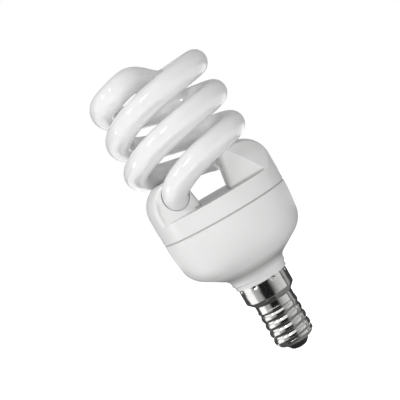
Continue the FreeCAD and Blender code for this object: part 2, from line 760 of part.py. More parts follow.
def cover_form(name, inset, profile_foot):
    """The cover's outside, or with an inset its cavity: a domed disc, cut back in front and behind,
    with a slanted corner beside each plain face, and split by a channel that widens upwards.
    It looks the same after half a turn about the axis."""
    radius = d.body_radius - inset
    rounding = d.dome_radius - inset
    top = d.block_top_z - inset
    rise = top - d.dome_start_z
    top_radius = radius - rounding + root(rounding * rounding - rise * rise)
    dome = turned(f"{name}Dome", profile_foot + (
        (radius, d.dome_start_z, rounding, 1),
        (top_radius, top),
        (0, top),
    ))
    floor = d.ledge_z - inset
    reach = 2 * d.body_radius
    tools = []
    for side, entry_sign in ((-1, -1), (1, 1)):
        low_x = -reach if side < 0 else 0
        for sign in (-1, 1):
            face = (d.entry_face_y if sign == entry_sign else d.plain_face_y) - inset
            low_y = face if sign > 0 else -face - reach
            tools.append(box(f"{name}CutBack{len(tools)}", (reach, reach, reach), (low_x, low_y, floor)))
    lean = tangent(d.corner_lean_deg)
    corner_x = root(d.body_radius * d.body_radius - d.plain_face_y * d.plain_face_y) - d.corner_inset
    corner_y = d.plain_face_y + d.corner_shift
    corner_radius = root(corner_x * corner_x + corner_y * corner_y)
    foot_radius = corner_radius + inset * lean - inset / cosine(d.corner_lean_deg)
    for side in (-1, 1):
        cone = doc.addObject("Part::Cone", f"{name}Cone{len(tools)}")
        bind(cone, "Radius1", foot_radius)
        bind(cone, "Radius2", foot_radius - reach * lean)
        bind(cone, "Height", reach)
        place(cone, 0, side * d.corner_shift, floor)
        low_x, low_y = (-reach, 0) if side < 0 else (0, -reach)
        block = box(f"{name}Corner{len(tools)}", (reach, reach, reach), (low_x, low_y, floor))
        tools.append(cut(f"{name}CornerCut{len(tools)}", block, cone))
    widening = (d.channel_top_half - d.channel_floor_half) / (d.block_top_z - d.ledge_z)
    floor_half = d.channel_floor_half + inset - inset * widening
    channel = doc.addObject("Part::Wedge", f"{name}Channel")
    spread_half = floor_half + reach * widening
    limits = {"Xmin": -floor_half, "Xmax": floor_half, "X2min": -spread_half, "X2max": spread_half,
              "Ymin": 0, "Ymax": reach, "Zmin": -reach, "Zmax": reach, "Z2min": -reach, "Z2max": reach}
    for limit, size in limits.items():
        bind(channel, limit, size)
    channel.Placement = Placement(Vector(), Rotation(Vector(1, 0, 0), 90))
    place(channel, 0, 0, floor)
    return cut(name, dome, fuse(f"{name}Cuts", tools + [channel]))


def soften(outside):
    """Rounds the blocks' edges: first the channel's edges at the plain faces, then the others."""
    doc.recompute()
    ledge = float(d.ledge_z)
    plain = []
    for number in sharp_edges(outside.Shape, ledge):
        middle = outside.Shape.Edges[number - 1].CenterOfMass
        beside_channel = abs(middle.x) < float(d.channel_top_half)
        if beside_channel and abs(abs(middle.y) - float(d.plain_face_y)) < TOUCH:
            plain.append(number)
    flared = rounded_off("CoverFlared", outside, plain, d.channel_rounding)
    return rounded_off("CoverRounded", flared, sharp_edges(flared.Shape, ledge), d.block_rounding)


def make_cover():
    lip_radius = d.body_radius - d.wall - d.lip_gap
    lip_z = d.seam_z - d.lip_depth
    outside = cover_form("CoverOutside", as_size(0), (
        (0, lip_z),
        (lip_radius, lip_z),
        (lip_radius, d.seam_z),
        (d.body_radius - d.seam_chamfer, d.seam_z),
        (d.body_radius, d.seam_z + d.seam_chamfer),
    ))
    below = lip_z - d.wall
    lip_inside = lip_radius - d.lip_wall
    cavity = cover_form("CoverCavity", d.wall, (
        (0, below),
        (lip_inside, below),
        (lip_inside, d.seam_z + d.wall),
        (d.body_radius - d.wall, d.seam_z + d.wall),
    ))
    gap = float(d.hole_gap)
    passing = line.along_coil(float(d.hole_reach_deg))
    holes = shaped("TubeHoles", Part.makeCompound([
        tube_along(line, -gap, passing, tube_radius + gap),
        tube_along(line, line.total - passing, line.total + gap, tube_radius + gap),
    ]))
    shell = cut("CoverShell", soften(outside), cavity)
    node(cut("UpperCover", shell, holes), "upper_cover")


# Circuit board and its parts

board_radius = d.body_radius - d.wall - d.board_gap
middle_radius = (d.smoothing_radius + board_radius) / 2
choke_x = middle_radius - d.choke_inset


def make_board():
    node(cylinder("CircuitBoard", board_radius, d.board_thickness, (0, 0, board_z)), "circuit_board")


def make_smoothing_capacitor():
    foot = board_z - d.smoothing_length
    groove = d.smoothing_groove
    groove_z = board_z - d.smoothing_groove_gap
    node(turned("SmoothingCapacitor", (
        (0, foot),
        (d.smoothing_radius - groove, foot),
        (d.smoothing_radius, foot + groove),
        (d.smoothing_radius, groove_z - groove),
        (d.smoothing_radius - groove, groove_z),
        (d.smoothing_radius, groove_z + groove),
        (d.smoothing_radius, board_z),
        (0, board_z),
    )), "smoothing_capacitor")


def make_choke():
    """Two E-shaped ferrite halves round a bobbin with its winding."""
    core_z = board_z - d.choke_core_height
    window_height = d.choke_core_height - 2 * d.choke_yoke
    window_width = (d.choke_core_width - 2 * d.choke_yoke - d.choke_leg) / 2
    core = centred_box("CoreBlock", (d.choke_core_depth, d.choke_core_width, d.choke_core_height),
                       choke_x, as_size(0), core_z)
    window_y = (d.choke_leg + window_width) / 2
    windows = [centred_box(f"CoreWindow{side}", (2 * d.choke_core_depth, window_width, window_height),
                           choke_x, sign * window_y, core_z + d.choke_yoke)
               for side, sign in (("Left", -1), ("Right", 1))]
    node(cut("ChokeCore", core, fuse("CoreWindows", windows)), "choke_core")

    gap, wall = d.bobbin_gap, d.bobbin_wall
    hole = (d.choke_core_depth + 2 * gap, d.choke_leg + 2 * gap)
    barrel = (hole[0] + 2 * wall, hole[1] + 2 * wall)
    flange = (barrel[0] + 2 * d.winding_depth, barrel[1] + 2 * d.winding_depth)
    foot = core_z + d.choke_yoke + gap
    height = window_height - 2 * gap

    def upright(name, sides, bottom, tall):
        return centred_box(name, (sides[0], sides[1], tall), choke_x, as_size(0), bottom)

    solid = fuse("BobbinSolid", [
        upright("BobbinBarrel", barrel, foot, height),
        upright("BobbinFoot", flange, foot, wall),
        upright("BobbinHead", flange, foot + height - wall, wall),
    ])
    node(cut("ChokeBobbin", solid, upright("BobbinHole", hole, foot - wall, height + 2 * wall)),
         "choke_bobbin")
    wound = tuple(side - 2 * d.winding_setback for side in flange)
    coil = upright("WindingBlock", wound, foot + wall, height - 2 * wall)
    inside = upright("WindingHole", barrel, foot, height)
    node(cut("ChokeWinding", coil, inside), "choke_winding")


def make_film_capacitors():
    """Two dipped film capacitors with rounded edges."""
    films = (
        ("ResonanceCapacitor", (d.resonance_thickness, d.resonance_width, d.resonance_height),
         (d.resonance_inset - middle_radius, as_size(0)), "resonance_capacitor"),
        ("CouplingCapacitor", (d.coupling_width, d.coupling_thickness, d.coupling_height),
         (as_size(0), d.coupling_inset - middle_radius), "coupling_capacitor"),
    )
    for name, sides, (middle_x, middle_y), label in films:
        block = centred_box(f"{name}Block", sides, middle_x, middle_y, board_z - sides[2])
        doc.recompute()
        below_top = [number for number, edge in enumerate(block.Shape.Edges, 1)
                     if edge.BoundBox.ZMin < float(board_z) - TOUCH]
        node(rounded_off(name, block, below_top, d.film_rounding), label)


def make_filter_inductor():
    """A drum core with its winding under a sleeve."""
    foot = board_z - d.inductor_height
    waist = d.inductor_radius - d.inductor_waist
    drum = turned("FilterInductor", (
        (0, foot),
        (d.inductor_radius, foot),
        (d.inductor_radius, foot + d.inductor_flange),
        (waist, foot + d.inductor_flange),
        (waist, board_z - d.inductor_flange),
        (d.inductor_radius, board_z - d.inductor_flange),
        (d.inductor_radius, board_z),
        (0, board_z),
    ))
    bind(drum, "Placement.Base.y", middle_radius - d.inductor_inset)
    node(drum, "filter_inductor")


def make_drive_transformer():
    """A ring core with three short windings; the windings touch the board."""
    reach = middle_radius + d.ring_outset
    x, y = reach * cosine(d.ring_deg), reach * sine(d.ring_deg)
    ring_z = board_z - d.ring_wire - d.ring_height
    blank = cylinder("RingBlank", d.ring_radius, d.ring_height, (x, y, ring_z))
    beyond = d.ring_wire
    bore = cylinder("RingBore", d.ring_bore_radius, d.ring_height + 2 * beyond, (x, y, ring_z - beyond))
    core = node(cut("RingCore", blank, bore), "drive_ring_core")
    middle = (d.ring_radius + d.ring_bore_radius) / 2
    radial = d.ring_radius - d.ring_bore_radius + 2 * d.ring_wire
    loops = []
    count = int(float(d.ring_windings))
    for index in range(count):
        angle = 360.0 * index / count
        block = doc.addObject("Part::Box", f"RingLoop{index}")
        bind(block, "Length", radial)
        bind(block, "Width", d.ring_wind_width)
        bind(block, "Height", d.ring_height + 2 * d.ring_wire)
        corner = Vector(float(middle - radial / 2), -float(d.ring_wind_width) / 2, 0)
        turned_corner = Rotation(Vector(0, 0, 1), angle).multVec(corner)
        block.Placement = Placement(Vector(), Rotation(Vector(0, 0, 1), angle))
        place(block, x + turned_corner.x, y + turned_corner.y, ring_z - d.ring_wire)
        loops.append(block)
    node(cut("RingWindings", group("RingLoops", loops), core), "drive_ring_windings")


def make_transistors():
    """Two small transistors with a round back and a flat front."""
    foot = board_z - d.transistor_height
    reach = middle_radius + d.transistor_outset
    middle_x = -reach * cosine(d.transistor_deg)
    pair = []
    for side, sign in (("Front", -1), ("Back", 1)):
        middle_y = sign * reach * sine(d.transistor_deg)
        back = cylinder(f"Transistor{side}Round", d.transistor_radius, d.transistor_height,
                        (middle_x, middle_y, foot))
        flat = box(f"Transistor{side}Flat",
                   (d.transistor_radius, 2 * d.transistor_radius, 2 * d.transistor_height),
                   (middle_x + d.transistor_flat, middle_y - d.transistor_radius,
                    foot - d.transistor_height / 2))
        pair.append(cut(f"Transistor{side}", back, flat))
    node(group("SwitchingTransistors", pair), "switching_transistors")


def make_board_top_parts():
    """Diodes, diac and resistors that lie on the board's upper side."""
    row = []
    count = int(float(d.diode_count))
    for index in range(count):
        x = (index - (count - 1) / 2) * d.diode_pitch
        low = (x, -d.diode_y - d.diode_length / 2, board_top + d.diode_radius)
        row.append(cylinder(f"Diode{index}", d.diode_radius, d.diode_length, low, along="y"))
    node(group("RectifierDiodes", row), "rectifier_diodes")

    low = (-d.diac_length / 2, d.diac_y, board_top + d.diac_radius)
    node(cylinder("StartDiac", d.diac_radius, d.diac_length, low, along="x"), "start_diac")

    pair = []
    for side, sign in (("Left", -1), ("Right", 1)):
        low = (sign * d.resistor_pitch / 2, d.resistor_y - d.resistor_length / 2,
               board_top + d.resistor_radius)
        pair.append(cylinder(f"Resistor{side}", d.resistor_radius, d.resistor_length, low, along="y"))
    node(group("BaseResistors", pair), "base_resistors")


def make_filament_leads():
    """Wires from the tube's two ends down to the pins on the board."""
    pin_top = float(board_top + d.pin_height)
    side = float(d.pin_side)
    radius = float(d.lead_radius)
    wires, pins = [], []
    for length, outward in ((0.0, -1), (line.total, 1)):
        end, way = line.at(length)
        leaving = way * outward
        for sign in (-1, 1):
            start = end + Vector(sign * float(d.filament_spread), 0, 0)
            corner = start + leaving * float(d.filament_run)
            stop = Vector(corner.x, corner.y, pin_top - side)
            wires.append(wire_through((start, corner, stop), float(d.lead_bend), radius))
            beyond = math.copysign(radius + side / 2 + float(d.fit_gap), leaving.y)
            pins.append((stop.x, stop.y + beyond))
    node(shaped("FilamentLeads", Part.makeCompound(wires)), "filament_leads")
    posts = [centred_box(f"Pin{index}", (d.pin_side, d.pin_side, d.pin_height), as_size(x), as_size(y),
                         board_top) for index, (x, y) in enumerate(pins)]
    node(group("WrapPins", posts), "wrap_pins")


def make_supply_leads():
    """The fuse resistor in the cap and the wires from the cap to the board."""
    node(cylinder("FuseResistor", d.fuse_radius, d.fuse_length, (0, 0, d.fuse_z)), "fuse_resistor")
    radius, bend, run = float(d.lead_radius), float(d.lead_bend), float(d.lead_run)
    board = float(board_z)
    stem_end = float(stem_top)
    lower = Part.makeCylinder(radius, float(d.fuse_z) - stem_end, Vector(0, 0, stem_end))
    fuse_top = float(d.fuse_z + d.fuse_length)
    turn_z = fuse_top + bend
    capacitor_foot = float(board_z - d.smoothing_length)
    side_z = (turn_z + capacitor_foot) / 2
    upper = wire_through((
        Vector(0, 0, fuse_top),
        Vector(0, 0, turn_z),
        Vector(0, -run, side_z),
        Vector(0, -run, board),
    ), bend, radius)
    node(shaped("LiveLead", Part.makeCompound([lower, upper])), "live_lead")
    foot = float(d.neutral_z)
    neutral = Part.makeCylinder(radius, board - foot, Vector(0, run, foot))
    node(shaped("NeutralLead", neutral), "neutral_lead")


make_cap()
make_housing()
make_cover()
make_board()
make_smoothing_capacitor()
make_choke()
make_film_capacitors()
make_filter_inductor()
make_drive_transformer()
make_transistors()
make_board_top_parts()
make_filament_leads()
make_supply_leads()
doc.recompute()

failed = [item.Name for item in doc.Objects if "Invalid" in item.State or "Error" in item.State]
failed += [item.Label for item in nodes if item.Shape.isNull() or not item.Shape.isValid()]
if failed:
    raise RuntimeError(f"these did not build: {failed}")

os.makedirs("parts", exist_ok=True)
for item in nodes:
    item.Shape.exportStep(f"parts/{item.Label}.step")
    print(f"{item.Label}: {len(item.Shape.Solids)} solids, {item.Shape.Volume:.1f} mm3")
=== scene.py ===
"""Looks of a spiral energy saving bulb: finishes, rolled thread, moulded trim, studio light and camera."""
import math

import bmesh
import bpy
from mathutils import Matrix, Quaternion, Vector, noise


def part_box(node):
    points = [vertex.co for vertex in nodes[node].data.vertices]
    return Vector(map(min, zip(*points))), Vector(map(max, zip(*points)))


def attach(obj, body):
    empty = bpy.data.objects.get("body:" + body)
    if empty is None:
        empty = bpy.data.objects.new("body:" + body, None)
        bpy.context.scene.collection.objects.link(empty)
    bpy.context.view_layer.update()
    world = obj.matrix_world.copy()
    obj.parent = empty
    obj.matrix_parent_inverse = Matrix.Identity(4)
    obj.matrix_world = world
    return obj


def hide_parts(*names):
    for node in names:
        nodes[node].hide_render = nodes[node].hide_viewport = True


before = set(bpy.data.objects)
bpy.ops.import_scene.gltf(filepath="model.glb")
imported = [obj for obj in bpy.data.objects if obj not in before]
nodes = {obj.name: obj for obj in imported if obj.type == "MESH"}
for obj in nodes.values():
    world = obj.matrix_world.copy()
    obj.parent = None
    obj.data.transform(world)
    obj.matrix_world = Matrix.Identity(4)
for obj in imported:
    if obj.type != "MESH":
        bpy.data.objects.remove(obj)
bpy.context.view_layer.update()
scene = bpy.context.scene
scene.view_settings.view_transform = "Standard"

MM = 0.001
WHITE = (1.0, 1.0, 1.0, 1.0)
BLACK = (0.0, 0.0, 0.0, 1.0)


# Helpers

def smooth_step(low, high, value):
    """0 up to the low value, 1 from the high one on and a soft rise in between."""
    share = min(1.0, max(0.0, (value - low) / (high - low)))
    return share * share * (3.0 - 2.0 * share)


def steps_between(start, end, step):
    """Evenly spaced values from start to end, no further apart than a step."""
    count = max(1, math.ceil((end - start) / step))
    return [start + (end - start) * index / count for index in range(count + 1)]


def direction(azimuth_deg, elevation_deg):
    """Unit vector: azimuth 0 points at the camera's side, positive to the right of the picture."""
    azimuth, elevation = math.radians(azimuth_deg), math.radians(elevation_deg)
    return Vector((math.sin(azimuth) * math.cos(elevation), -math.cos(azimuth) * math.cos(elevation),
                   math.sin(elevation)))


def add_mesh(name, corners, faces):
    """A new object of the scene with the given corners, in metres, and faces."""
    mesh = bpy.data.meshes.new(name)
    mesh.from_pydata(corners, [], faces)
    thing = bpy.data.objects.new(name, mesh)
    scene.collection.objects.link(thing)
    return thing


def turn_outward(mesh):
    """Turns the faces of a closed mesh so that they all look out."""
    work = bmesh.new()
    work.from_mesh(mesh)
    bmesh.ops.recalc_face_normals(work, faces=work.faces)
    work.to_mesh(mesh)
    work.free()


def shade(mesh, sharp_deg):
    """Shades a mesh smooth, apart from edges that bend by more than an angle."""
    mesh.shade_smooth()
    mesh.set_sharp_from_angle(angle=math.radians(sharp_deg))


def paint(thing, material):
    thing.data.materials.clear()
    thing.data.materials.append(material)


def add_node(tree, kind, inputs, **settings):
    """A new node with the given settings; each input is linked to an output or set to a value."""
    node = tree.nodes.new(f"ShaderNode{kind}")
    for name, value in settings.items():
        setattr(node, name, value)
    for name, value in inputs.items():
        if isinstance(value, bpy.types.NodeSocket):
            tree.links.new(value, node.inputs[name])
        else:
            node.inputs[name].default_value = value
    return node


def new_material(name):
    """A material and its shader."""
    material = bpy.data.materials.new(name)
    material.use_nodes = True
    return material, material.node_tree.nodes["Principled BSDF"]


# Camera: the lamp leans up and to the left in the picture

AIM = Vector((-4.7, 0.0, 57.7)) * MM
CAMERA_SPOT = Vector((-4.7, -300.0, 74.0)) * MM
ROLL_DEG = 30.0
PICTURE_SIDE = 400
FOCAL_PIXELS = 927.0
SENSOR = 36.0
NEAREST = 0.01
FARTHEST = 20.0


def make_camera():
    data = bpy.data.cameras.new("photo_camera")
    data.sensor_width = SENSOR
    data.lens = SENSOR * FOCAL_PIXELS / PICTURE_SIDE
    data.clip_start = NEAREST
    data.clip_end = FARTHEST
    camera = bpy.data.objects.new("photo_camera", data)
    scene.collection.objects.link(camera)
    camera.location = CAMERA_SPOT
    level = (AIM - CAMERA_SPOT).to_track_quat("-Z", "Y")
    camera.rotation_mode = "QUATERNION"
    camera.rotation_quaternion = level @ Quaternion((0.0, 0.0, 1.0), math.radians(-ROLL_DEG))
    scene.camera = camera


# Finishes

# Between these values lies most of what a noise texture gives
NOISE_LOW = 0.3
NOISE_HIGH = 0.7


class Finish:
    """A material with short calls for the textures of its shader."""

    def __init__(self, name, colour, roughness, metallic=0.0):
        self.material, self.shader = new_material(name)
        self.tree = self.material.node_tree
        self.set("Base Color", (*colour, 1.0))
        self.set("Roughness", roughness)
        self.set("Metallic", metallic)
        self.place = self.add("TexCoord", {}).outputs["Object"]

    def add(self, kind, inputs, **settings):
        return add_node(self.tree, kind, inputs, **settings)

    def set(self, socket, value):
        self.shader.inputs[socket].default_value = value

    def link(self, output, socket):
        self.tree.links.new(output, self.shader.inputs[socket])

    def noise(self, size_mm, detail=3.0, stretch=(1.0, 1.0, 1.0)):
        """Noise with features of about the given size in millimetres."""
        mapping = self.add("Mapping", {"Vector": self.place, "Scale": stretch})
        texture = self.add("TexNoise", {"Vector": mapping.outputs["Vector"], "Scale": 1.0 / (size_mm * MM),
                                        "Detail": detail})
        return texture.outputs["Fac"]

    def spread(self, source, low, high):
        """Maps a noise texture onto a range."""
        span = self.add("MapRange", {"Value": source, "From Min": NOISE_LOW, "From Max": NOISE_HIGH,
                                     "To Min": low, "To Max": high})
        return span.outputs["Result"]

    def blend(self, share, first, second):
        mix = self.add("Mix", {"Factor": share, "A": first, "B": second}, data_type="RGBA")
        return mix.outputs["Result"]

    def mottle(self, source, dark, light):
        """Base colour that wanders between two colours."""
        share = self.spread(source, 0.0, 1.0)
        self.link(self.blend(share, (*dark, 1.0), (*light, 1.0)), "Base Color")

    def band(self, height_mm, half_mm, reach_mm, colour):
        """A line of painted shade: another colour round the axis at a height, up to a radius, soft towards
        both sides.
        """
        split = self.add("SeparateXYZ", {"Vector": self.place})
        flat = self.add("CombineXYZ", {"X": split.outputs["X"], "Y": split.outputs["Y"]})
        radius = self.add("VectorMath", {0: flat.outputs["Vector"]}, operation="LENGTH")
        within = self.add("Math", {0: radius.outputs["Value"], 1: reach_mm * MM}, operation="LESS_THAN")
        away = self.add("Math", {0: split.outputs["Z"], 1: height_mm * MM}, operation="SUBTRACT")
        distance = self.add("Math", {0: away.outputs[0]}, operation="ABSOLUTE")
        share = self.add("MapRange", {"Value": distance.outputs[0], "From Min": 0.0,
                                      "From Max": half_mm * MM, "To Min": within.outputs[0], "To Max": 0.0})
        base = self.shader.inputs["Base Color"].links[0].from_socket
        self.link(self.blend(share.outputs["Result"], base, (*colour, 1.0)), "Base Color")

    def wear(self, source, low, high):
        """Roughness that wanders between two values."""
        self.link(self.spread(source, low, high), "Roughness")

    def bump(self, source, depth_mm):
        relief = self.add("Bump", {"Height": source, "Distance": depth_mm * MM, "Strength": 1.0})
        self.link(relief.outputs["Normal"], "Normal")


# Painted shade: greyer lines round the mouldings where shade falls, in the seam's groove, in the hollow
# under the bowl and at the foot of the cover's blocks: height, half width and outer radius in millimetres,
# and colour
SEAM_PAINTED_SHADE = (50.5, 0.4, 30.0, (0.5, 0.5, 0.495))
HOLLOW_PAINTED_SHADE = (30.9, 2.8, 30.0, (0.42, 0.42, 0.415))
FOOT_PAINTED_SHADE = (56.8, 0.7, 21.4, (0.5, 0.5, 0.495))

COVER_ROUGHNESS = 0.2
HOUSING_ROUGHNESS = 0.33


def white_glass():
    """Opal glass: light enters a little way and comes out again."""
    finish = Finish("white_glass", (0.9, 0.905, 0.9), roughness=0.04)
    finish.mottle(finish.noise(size_mm=9.0), dark=(0.905, 0.908, 0.905), light=(0.935, 0.937, 0.934))
    finish.wear(finish.noise(size_mm=2.5), low=0.015, high=0.035)
    finish.bump(finish.noise(size_mm=6.0, detail=1.0), depth_mm=0.006)
    finish.set("Specular IOR Level", 0.9)
    finish.set("Subsurface Weight", 0.5)
    finish.set("Subsurface Scale", 4.0 * MM)
    finish.set("Subsurface Radius", (1.0, 1.0, 1.0))
    return finish.material


def white_plastic(name, roughness, painted_shades):
    """White moulding, greyer with painted shade along the given lines."""
    finish = Finish(name, (0.86, 0.86, 0.855), roughness)
    finish.mottle(finish.noise(size_mm=14.0), dark=(0.845, 0.845, 0.84), light=(0.87, 0.87, 0.865))
    for line in painted_shades:
        finish.band(*line)
    finish.wear(finish.noise(size_mm=3.0), low=roughness - 0.03, high=roughness + 0.04)
    finish.bump(finish.noise(size_mm=2.0, detail=1.0), depth_mm=0.004)
    return finish.material


def nickel():
    finish = Finish("nickel", (0.76, 0.755, 0.74), roughness=0.14, metallic=1.0)
    finish.mottle(finish.noise(size_mm=3.0), dark=(0.72, 0.715, 0.7), light=(0.79, 0.785, 0.77))
    finish.wear(finish.noise(size_mm=1.0, detail=4.0), low=0.08, high=0.16)
    finish.bump(finish.noise(size_mm=1.5, detail=2.0), depth_mm=0.004)
    return finish.material


def black_glass():
    finish = Finish("black_glass", (0.012, 0.012, 0.012), roughness=0.1)
    finish.mottle(finish.noise(size_mm=2.0), dark=(0.008, 0.008, 0.008), light=(0.02, 0.02, 0.02))
    finish.wear(finish.noise(size_mm=1.0), low=0.06, high=0.16)
    finish.bump(finish.noise(size_mm=1.4, detail=1.0), depth_mm=0.03)
    return finish.material


def plain_finish(name, dark, light, roughness, metallic, grain_mm, depth_mm, stretch=(1.0, 1.0, 1.0)):
    """Finish of a small piece: mottled colour, uneven gloss and a fine grain."""
    finish = Finish(name, light, roughness, metallic)
    grain = finish.noise(grain_mm, stretch=stretch)
    finish.mottle(grain, dark, light)
    finish.wear(grain, low=roughness - 0.05, high=roughness + 0.08)
    finish.bump(grain, depth_mm)
    return finish.material


# Small pieces: dark and light colour, roughness, metallic, size and depth of the grain in millimetres and,
# where wire lies in layers, the stretch of the grain
WIRE = ((0.6, 0.59, 0.56), (0.7, 0.69, 0.66), 0.3, 1.0, 0.4, 0.004)
COPPER = ((0.45, 0.17, 0.06), (0.62, 0.27, 0.1), 0.3, 1.0, 0.25, 0.05)
FILM_COAT = ((0.3, 0.05, 0.02), (0.38, 0.08, 0.03), 0.2, 0.0, 1.5, 0.03)
LAYERS = (0.05, 0.05, 1.0)
SMALL_FINISHES = {
    "circuit_board": ((0.45, 0.33, 0.17), (0.56, 0.43, 0.24), 0.55, 0.0, 0.8, 0.01),
    "smoothing_capacitor": ((0.012, 0.014, 0.03), (0.02, 0.024, 0.045), 0.3, 0.0, 0.6, 0.004),
    "choke_core": ((0.03, 0.03, 0.032), (0.06, 0.06, 0.062), 0.6, 0.0, 0.3, 0.02),
    "choke_bobbin": ((0.05, 0.05, 0.05), (0.07, 0.07, 0.07), 0.45, 0.0, 0.4, 0.006),
    "choke_winding": (*COPPER, LAYERS),
    "resonance_capacitor": FILM_COAT,
    "coupling_capacitor": FILM_COAT,
    "filter_inductor": ((0.015, 0.015, 0.015), (0.03, 0.03, 0.03), 0.4, 0.0, 0.8, 0.01),
    "drive_ring_core": ((0.02, 0.06, 0.05), (0.03, 0.08, 0.065), 0.4, 0.0, 0.4, 0.01),
    "drive_ring_windings": COPPER,
    "switching_transistors": ((0.012, 0.012, 0.012), (0.02, 0.02, 0.02), 0.5, 0.0, 0.3, 0.008),
    "rectifier_diodes": ((0.012, 0.012, 0.012), (0.02, 0.02, 0.02), 0.4, 0.0, 0.4, 0.006),
    "start_diac": ((0.06, 0.12, 0.35), (0.08, 0.16, 0.42), 0.15, 0.0, 0.6, 0.004),
    "base_resistors": ((0.5, 0.38, 0.22), (0.58, 0.45, 0.28), 0.45, 0.0, 0.4, 0.008),
    "fuse_resistor": ((0.1, 0.24, 0.2), (0.13, 0.3, 0.25), 0.5, 0.0, 0.4, 0.01),
    "filament_leads": WIRE,
    "wrap_pins": ((0.6, 0.59, 0.56), (0.7, 0.69, 0.66), 0.35, 1.0, 0.3, 0.006),
    "live_lead": WIRE,
    "neutral_lead": WIRE,
    "centre_contact": ((0.5, 0.5, 0.49), (0.62, 0.61, 0.6), 0.35, 1.0, 0.8, 0.02),
}


def paint_nodes():
    paint(nodes["glass_tube"], white_glass())
    # The cover and the housing get painted shade at the seam, at the foot of the blocks and in the hollow
    # under the bowl
    paint(nodes["upper_cover"], white_plastic("cover_plastic", COVER_ROUGHNESS, (SEAM_PAINTED_SHADE, FOOT_PAINTED_SHADE)))
    paint(nodes["lower_housing"],
          white_plastic("housing_plastic", HOUSING_ROUGHNESS, (SEAM_PAINTED_SHADE, HOLLOW_PAINTED_SHADE)))
    paint(nodes["cap_insulator"], black_glass())
    for name, finish in SMALL_FINISHES.items():
        paint(nodes[name], plain_finish(name, *finish))


# Screw shell: rolled thread, throat, shoulder and collar pressed from thin sheet; sizes in millimetres

TURN_STEPS = 256
SHEET = 0.3
SHELL_SHARP_DEG = 50.0

MOUTH_RADIUS = 4.5
TOE_TOP = 5.0
TOE_STEPS = 16

CREST_RADIUS = 6.92
THREAD_DEPTH = 0.43
CREST_SHARE = 0.68
THREAD_PITCH = 2.822
FRONT_CREST_Z = 8.35
THREAD_TOP = 15.8
THREAD_ROW = 0.08
THROAT_RADIUS = 6.7
THROAT_Z = 16.2
THREAD_GROWS = (3.4, 5.4)
THREAD_FADES = (14.6, THROAT_Z)

SHOULDER_Z = 18.3
COLLAR_Z = 20.2
SHOULDER_ROUNDING = 0.8
ROUNDING_STEPS = 6
COLLAR_ROWS = 28
RIM_CURL = 0.1

# Punch marks below the rim that hold the collar on the housing
DENT_COUNT = 8
FIRST_DENT_DEG = -24.0
DENT_DEPTH = 0.42
DENT_WIDTH = 0.62
DENT_HEIGHT = 0.4
DENT_BELOW_RIM = 0.75

# Slight unevenness of the thin sheet
RIPPLE = 0.03
RIPPLE_SIZE = 1.7


def thread_drop(angle, height):
    """How far the thread lies below its crest: a wide arc and a narrow one that run into each other."""
    half = THREAD_PITCH / 2
    steepest = 2 * math.atan(THREAD_DEPTH / half)
    crest = half * CREST_SHARE / math.sin(steepest)
    root = half * (1 - CREST_SHARE) / math.sin(steepest)
    turns = (height - FRONT_CREST_Z) / THREAD_PITCH - angle / (2 * math.pi)
    along = abs((turns + 0.5) % 1.0 - 0.5) * THREAD_PITCH
    if along < half * CREST_SHARE:
        return crest - math.sqrt(crest ** 2 - along ** 2)
    return THREAD_DEPTH - root + math.sqrt(root ** 2 - (half - along) ** 2)


def corner_arc(before, corner, after, rounding):
    """Points of the rounding at a corner of an outline."""
    before, corner, after = Vector(before), Vector(corner), Vector(after)
    arriving = (corner - before).normalized()
    leaving = (after - corner).normalized()
    half_turn = arriving.angle(leaving) / 2
    setback = rounding * math.tan(half_turn)
    start, end = corner - arriving * setback, corner + leaving * setback
    points = []
    for step in range(ROUNDING_STEPS + 1):
        share = step / ROUNDING_STEPS
        points.append(((1 - share) ** 2 * start + 2 * share * (1 - share) * corner + share ** 2 * end)[:])
    return points


def shell_outline(mouth_z, collar_radius, rim_z):
    """Radius and height of the shell's outside from its mouth to its rim, without the thread."""
    outline = []
    for step in range(TOE_STEPS):
        turn = math.pi / 2 * step / TOE_STEPS
        outline.append((MOUTH_RADIUS + (CREST_RADIUS - MOUTH_RADIUS) * math.sin(turn),
                        mouth_z + (TOE_TOP - mouth_z) * (1 - math.cos(turn))))
    rows = round((THREAD_TOP - TOE_TOP) / THREAD_ROW)
    outline += [(CREST_RADIUS, TOE_TOP + THREAD_ROW * row) for row in range(rows + 1)]
    throat = (THROAT_RADIUS, THROAT_Z)
    foot, top = (THROAT_RADIUS, SHOULDER_Z), (collar_radius, COLLAR_Z)
    outline.append(throat)
    outline += corner_arc(throat, foot, top, SHOULDER_ROUNDING)
    outline += corner_arc(foot, top, (collar_radius, rim_z), SHOULDER_ROUNDING)
    low = outline[-1][1]
    outline += [(collar_radius, low + (rim_z - RIM_CURL - low) * row / COLLAR_ROWS)
                for row in range(1, COLLAR_ROWS + 1)]
    outline.append((collar_radius - RIM_CURL, rim_z))
    return outline


def dent_depth(angle_deg, height, radius, rim_z):
    """How deep the nearest punch mark presses the collar in."""
    pitch = 360.0 / DENT_COUNT
    away = (angle_deg - FIRST_DENT_DEG + pitch / 2) % pitch - pitch / 2
    across = math.radians(away) * radius / DENT_WIDTH
    up = (height - (rim_z - DENT_BELOW_RIM)) / DENT_HEIGHT
    return DENT_DEPTH * math.exp(-across ** 2 - up ** 2)


def shell_point(angle_deg, radius, height, inset, rim_z):
    """A point of the finished shell; angle 0 is the side that faces the camera."""
    angle = math.radians(angle_deg)
    fade = smooth_step(*THREAD_GROWS, height) * (1 - smooth_step(*THREAD_FADES, height))
    reach = radius - fade * thread_drop(angle, height) - dent_depth(angle_deg, height, radius, rim_z)
    side = Vector((math.sin(angle), -math.cos(angle), 0.0))
    spot = side * reach + Vector((0.0, 0.0, height))
    reach += RIPPLE * noise.noise(spot / RIPPLE_SIZE) - inset
    return (side * reach + Vector((0.0, 0.0, height))) * MM


